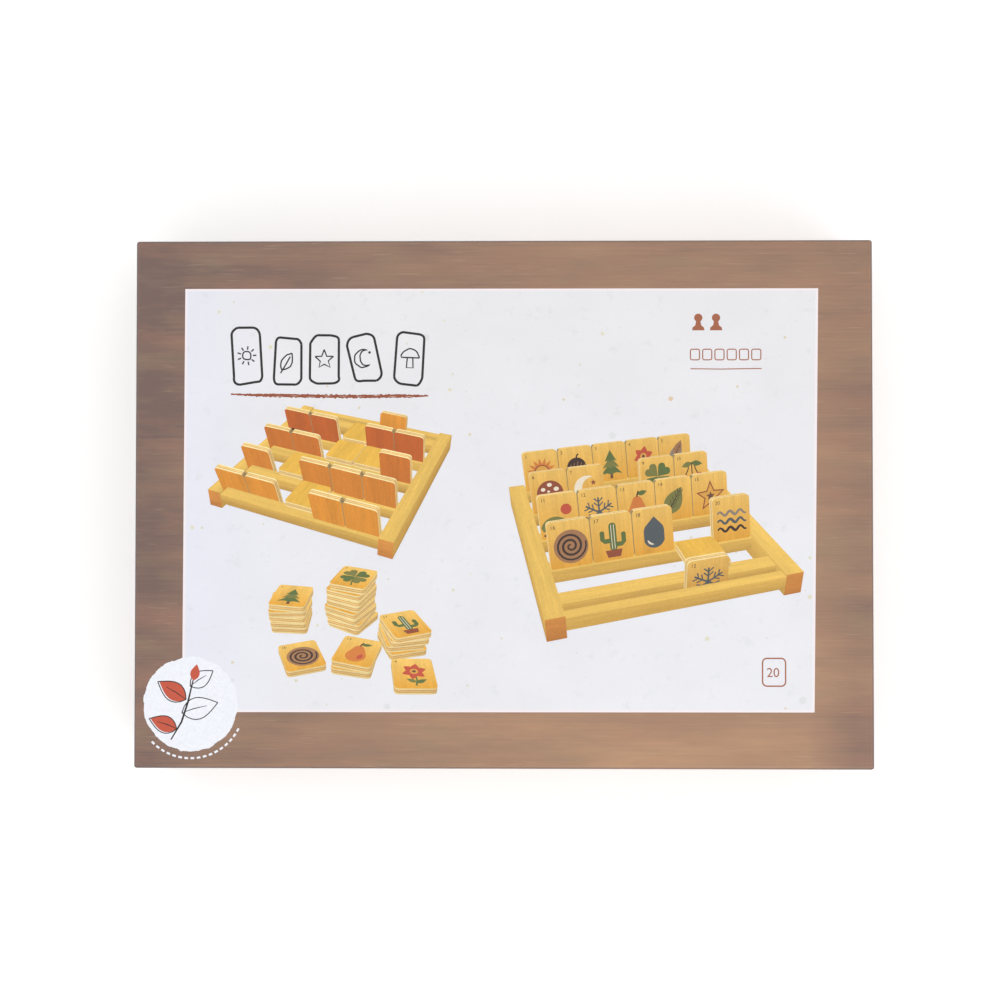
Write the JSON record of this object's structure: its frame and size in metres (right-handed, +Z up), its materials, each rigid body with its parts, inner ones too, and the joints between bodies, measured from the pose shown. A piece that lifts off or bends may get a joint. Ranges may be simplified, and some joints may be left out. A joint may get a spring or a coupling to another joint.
{
  "type": "tile-flipping guessing game",
  "caption": "Shallow cardboard box with a lift-off lid, holding slatted wooden racks of plywood picture tiles that tip up to stand, and a bay of loose tiles.",
  "frame": {"origin": "centre of the box's underside", "axes": "+X along the box's long side, +Y along its short side from the players' edge of the racks to their back, +Z up out of the lid"},
  "size_m": [0.3746, 0.2682, 0.058],
  "materials": {
    "wrap_print": "satin",
    "greyboard": "matte",
    "leaflet_paper": "matte",
    "rack_wood": "matte",
    "tile_plywood": "satin",
    "dowel_wood": "matte",
    "screw_steel": "satin"
  },
  "bodies": {
    "tray": {"tray_board": "greyboard", "tray_wrap": "wrap_print", "bay_divider": "greyboard", "bay_partitions": "greyboard"},
    "lid": {"lid_board": "greyboard", "lid_wrap": "wrap_print"},
    "upper_rack": {"upper_left_rail": "rack_wood", "upper_right_rail": "rack_wood", "upper_front_bar": "rack_wood", "upper_slot_bar": "rack_wood", "upper_row_bar_1": "rack_wood", "upper_row_bar_2": "rack_wood", "upper_row_bar_3": "rack_wood", "upper_row_bar_4": "rack_wood", "upper_screws": "screw_steel", "upper_dowels": "dowel_wood"},
    "lower_rack": {"lower_left_rail": "rack_wood", "lower_right_rail": "rack_wood", "lower_front_bar": "rack_wood", "lower_slot_bar": "rack_wood", "lower_row_bar_1": "rack_wood", "lower_row_bar_2": "rack_wood", "lower_row_bar_3": "rack_wood", "lower_row_bar_4": "rack_wood", "lower_screws": "screw_steel", "lower_dowels": "dowel_wood"},
    "leaflet": {"rules_leaflet": "leaflet_paper"},
    "guess_tiles_1": {"guess_tiles_1": "tile_plywood"},
    "guess_tiles_2": {"guess_tiles_2": "tile_plywood"},
    "guess_tiles_3": {"guess_tiles_3": "tile_plywood"},
    "guess_tiles_4": {"guess_tiles_4": "tile_plywood"},
    "guess_tiles_5": {"guess_tiles_5": "tile_plywood"},
    "upper_tile_01": {"upper_tile_01": "tile_plywood"},
    "upper_tile_02": {"upper_tile_02": "tile_plywood"},
    "upper_tile_03": {"upper_tile_03": "tile_plywood"},
    "upper_tile_04": {"upper_tile_04": "tile_plywood"},
    "upper_tile_05": {"upper_tile_05": "tile_plywood"},
    "upper_tile_06": {"upper_tile_06": "tile_plywood"},
    "upper_tile_07": {"upper_tile_07": "tile_plywood"},
    "upper_tile_08": {"upper_tile_08": "tile_plywood"},
    "upper_tile_09": {"upper_tile_09": "tile_plywood"},
    "upper_tile_10": {"upper_tile_10": "tile_plywood"},
    "upper_tile_11": {"upper_tile_11": "tile_plywood"},
    "upper_tile_12": {"upper_tile_12": "tile_plywood"},
    "upper_tile_13": {"upper_tile_13": "tile_plywood"},
    "upper_tile_14": {"upper_tile_14": "tile_plywood"},
    "upper_tile_15": {"upper_tile_15": "tile_plywood"},
    "upper_tile_16": {"upper_tile_16": "tile_plywood"},
    "upper_tile_17": {"upper_tile_17": "tile_plywood"},
    "upper_tile_18": {"upper_tile_18": "tile_plywood"},
    "upper_tile_19": {"upper_tile_19": "tile_plywood"},
    "upper_tile_20": {"upper_tile_20": "tile_plywood"},
    "lower_tile_row_1": {"lower_tile_row_1": "tile_plywood"},
    "lower_tile_row_2": {"lower_tile_row_2": "tile_plywood"},
    "lower_tile_row_3": {"lower_tile_row_3": "tile_plywood"},
    "lower_tile_row_4": {"lower_tile_row_4": "tile_plywood"}
  },
  "joints": [
    {"name": "lid_lift", "type": "slide", "parent": "tray", "child": "lid", "axis": [0, 0, 1], "range_m": [0, 0.27]},
    {"name": "upper_rack_lift", "type": "slide", "parent": "tray", "child": "upper_rack", "axis": [0, 0, 1], "range_m": [0, 0.135]},
    {"name": "lower_rack_lift", "type": "slide", "parent": "tray", "child": "lower_rack", "axis": [0, 0, 1], "range_m": [0, 0.054]},
    {"name": "leaflet_lift", "type": "slide", "parent": "tray", "child": "leaflet", "axis": [0, 0, 1], "range_m": [0, 0.1215]},
    {"name": "guess_tiles_1_lift", "type": "slide", "parent": "tray", "child": "guess_tiles_1", "axis": [0, 0, 1], "range_m": [0, 0.0405]},
    {"name": "guess_tiles_2_lift", "type": "slide", "parent": "tray", "child": "guess_tiles_2", "axis": [0, 0, 1], "range_m": [0, 0.0405]},
    {"name": "guess_tiles_3_lift", "type": "slide", "parent": "tray", "child": "guess_tiles_3", "axis": [0, 0, 1], "range_m": [0, 0.0405]},
    {"name": "guess_tiles_4_lift", "type": "slide", "parent": "tray", "child": "guess_tiles_4", "axis": [0, 0, 1], "range_m": [0, 0.0405]},
    {"name": "guess_tiles_5_lift", "type": "slide", "parent": "tray", "child": "guess_tiles_5", "axis": [0, 0, 1], "range_m": [0, 0.0405]},
    {"name": "upper_tile_01_flip", "type": "hinge", "parent": "upper_rack", "child": "upper_tile_01", "pos_m": [-0.14175, 0.11317, 0.0468], "axis": [-1, 0, 0], "range_deg": [0, 105]},
    {"name": "upper_tile_02_flip", "type": "hinge", "parent": "upper_rack", "child": "upper_tile_02", "pos_m": [-0.10075, 0.11317, 0.0468], "axis": [-1, 0, 0], "range_deg": [0, 105]},
    {"name": "upper_tile_03_flip", "type": "hinge", "parent": "upper_rack", "child": "upper_tile_03", "pos_m": [-0.05975, 0.11317, 0.0468], "axis": [-1, 0, 0], "range_deg": [0, 105]},
    {"name": "upper_tile_04_flip", "type": "hinge", "parent": "upper_rack", "child": "upper_tile_04", "pos_m": [-0.01875, 0.11317, 0.0468], "axis": [-1, 0, 0], "range_deg": [0, 105]},
    {"name": "upper_tile_05_flip", "type": "hinge", "parent": "upper_rack", "child": "upper_tile_05", "pos_m": [0.02225, 0.11317, 0.0468], "axis": [-1, 0, 0], "range_deg": [0, 105]},
    {"name": "upper_tile_06_flip", "type": "hinge", "parent": "upper_rack", "child": "upper_tile_06", "pos_m": [-0.14175, 0.05775, 0.0468], "axis": [-1, 0, 0], "range_deg": [0, 105]},
    {"name": "upper_tile_07_flip", "type": "hinge", "parent": "upper_rack", "child": "upper_tile_07", "pos_m": [-0.10075, 0.05775, 0.0468], "axis": [-1, 0, 0], "range_deg": [0, 105]},
    {"name": "upper_tile_08_flip", "type": "hinge", "parent": "upper_rack", "child": "upper_tile_08", "pos_m": [-0.05975, 0.05775, 0.0468], "axis": [-1, 0, 0], "range_deg": [0, 105]},
    {"name": "upper_tile_09_flip", "type": "hinge", "parent": "upper_rack", "child": "upper_tile_09", "pos_m": [-0.01875, 0.05775, 0.0468], "axis": [-1, 0, 0], "range_deg": [0, 105]},
    {"name": "upper_tile_10_flip", "type": "hinge", "parent": "upper_rack", "child": "upper_tile_10", "pos_m": [0.02225, 0.05775, 0.0468], "axis": [-1, 0, 0], "range_deg": [0, 105]},
    {"name": "upper_tile_11_flip", "type": "hinge", "parent": "upper_rack", "child": "upper_tile_11", "pos_m": [-0.14175, 0.00233, 0.0468], "axis": [-1, 0, 0], "range_deg": [0, 105]},
    {"name": "upper_tile_12_flip", "type": "hinge", "parent": "upper_rack", "child": "upper_tile_12", "pos_m": [-0.10075, 0.00233, 0.0468], "axis": [-1, 0, 0], "range_deg": [0, 105]},
    {"name": "upper_tile_13_flip", "type": "hinge", "parent": "upper_rack", "child": "upper_tile_13", "pos_m": [-0.05975, 0.00233, 0.0468], "axis": [-1, 0, 0], "range_deg": [0, 105]},
    {"name": "upper_tile_14_flip", "type": "hinge", "parent": "upper_rack", "child": "upper_tile_14", "pos_m": [-0.01875, 0.00233, 0.0468], "axis": [-1, 0, 0], "range_deg": [0, 105]},
    {"name": "upper_tile_15_flip", "type": "hinge", "parent": "upper_rack", "child": "upper_tile_15", "pos_m": [0.02225, 0.00233, 0.0468], "axis": [-1, 0, 0], "range_deg": [0, 105]},
    {"name": "upper_tile_16_flip", "type": "hinge", "parent": "upper_rack", "child": "upper_tile_16", "pos_m": [-0.14175, -0.0531, 0.0468], "axis": [-1, 0, 0], "range_deg": [0, 105]},
    {"name": "upper_tile_17_flip", "type": "hinge", "parent": "upper_rack", "child": "upper_tile_17", "pos_m": [-0.10075, -0.0531, 0.0468], "axis": [-1, 0, 0], "range_deg": [0, 105]},
    {"name": "upper_tile_18_flip", "type": "hinge", "parent": "upper_rack", "child": "upper_tile_18", "pos_m": [-0.05975, -0.0531, 0.0468], "axis": [-1, 0, 0], "range_deg": [0, 105]},
    {"name": "upper_tile_19_flip", "type": "hinge", "parent": "upper_rack", "child": "upper_tile_19", "pos_m": [-0.01875, -0.0531, 0.0468], "axis": [-1, 0, 0], "range_deg": [0, 105]},
    {"name": "upper_tile_20_flip", "type": "hinge", "parent": "upper_rack", "child": "upper_tile_20", "pos_m": [0.02225, -0.0531, 0.0468], "axis": [-1, 0, 0], "range_deg": [0, 105]},
    {"name": "lower_tile_row_1_flip", "type": "hinge", "parent": "lower_rack", "child": "lower_tile_row_1", "pos_m": [-0.05975, 0.11317, 0.0232], "axis": [-1, 0, 0], "range_deg": [0, 105]},
    {"name": "lower_tile_row_2_flip", "type": "hinge", "parent": "lower_rack", "child": "lower_tile_row_2", "pos_m": [-0.05975, 0.05775, 0.0232], "axis": [-1, 0, 0], "range_deg": [0, 105]},
    {"name": "lower_tile_row_3_flip", "type": "hinge", "parent": "lower_rack", "child": "lower_tile_row_3", "pos_m": [-0.05975, 0.00233, 0.0232], "axis": [-1, 0, 0], "range_deg": [0, 105]},
    {"name": "lower_tile_row_4_flip", "type": "hinge", "parent": "lower_rack", "child": "lower_tile_row_4", "pos_m": [-0.05975, -0.0531, 0.0232], "axis": [-1, 0, 0], "range_deg": [0, 105]}
  ],
  "couplings": [
    {"joint": "upper_rack_lift", "follows": "lid_lift", "ratio": 0.5},
    {"joint": "lower_rack_lift", "follows": "lid_lift", "ratio": 0.2},
    {"joint": "leaflet_lift", "follows": "lid_lift", "ratio": 0.45},
    {"joint": "guess_tiles_1_lift", "follows": "lid_lift", "ratio": 0.15},
    {"joint": "guess_tiles_2_lift", "follows": "lid_lift", "ratio": 0.15},
    {"joint": "guess_tiles_3_lift", "follows": "lid_lift", "ratio": 0.15},
    {"joint": "guess_tiles_4_lift", "follows": "lid_lift", "ratio": 0.15},
    {"joint": "guess_tiles_5_lift", "follows": "lid_lift", "ratio": 0.15},
    {"joint": "upper_tile_01_flip", "follows": "lid_lift", "rad_per_m": 6.787},
    {"joint": "upper_tile_02_flip", "follows": "lid_lift", "rad_per_m": 6.787},
    {"joint": "upper_tile_03_flip", "follows": "lid_lift", "rad_per_m": 6.787},
    {"joint": "upper_tile_04_flip", "follows": "lid_lift", "rad_per_m": 6.787},
    {"joint": "upper_tile_05_flip", "follows": "lid_lift", "rad_per_m": 6.787},
    {"joint": "upper_tile_06_flip", "follows": "lid_lift", "rad_per_m": 6.787},
    {"joint": "upper_tile_07_flip", "follows": "lid_lift", "rad_per_m": 6.787},
    {"joint": "upper_tile_08_flip", "follows": "lid_lift", "rad_per_m": 6.787},
    {"joint": "upper_tile_09_flip", "follows": "lid_lift", "rad_per_m": 6.787},
    {"joint": "upper_tile_10_flip", "follows": "lid_lift", "rad_per_m": 6.787},
    {"joint": "upper_tile_11_flip", "follows": "lid_lift", "rad_per_m": 6.787},
    {"joint": "upper_tile_12_flip", "follows": "lid_lift", "rad_per_m": 6.787},
    {"joint": "upper_tile_13_flip", "follows": "lid_lift", "rad_per_m": 6.787},
    {"joint": "upper_tile_14_flip", "follows": "lid_lift", "rad_per_m": 6.787},
    {"joint": "upper_tile_15_flip", "follows": "lid_lift", "rad_per_m": 6.787},
    {"joint": "upper_tile_16_flip", "follows": "lid_lift", "rad_per_m": 6.787},
    {"joint": "upper_tile_17_flip", "follows": "lid_lift", "rad_per_m": 6.787},
    {"joint": "upper_tile_18_flip", "follows": "lid_lift", "rad_per_m": 6.787},
    {"joint": "upper_tile_19_flip", "follows": "lid_lift", "rad_per_m": 6.787},
    {"joint": "upper_tile_20_flip", "follows": "lid_lift", "rad_per_m": 6.787},
    {"joint": "lower_tile_row_1_flip", "follows": "lid_lift", "rad_per_m": 6.787},
    {"joint": "lower_tile_row_2_flip", "follows": "lid_lift", "rad_per_m": 6.787},
    {"joint": "lower_tile_row_3_flip", "follows": "lid_lift", "rad_per_m": 6.787},
    {"joint": "lower_tile_row_4_flip", "follows": "lid_lift", "rad_per_m": 6.787}
  ]
}
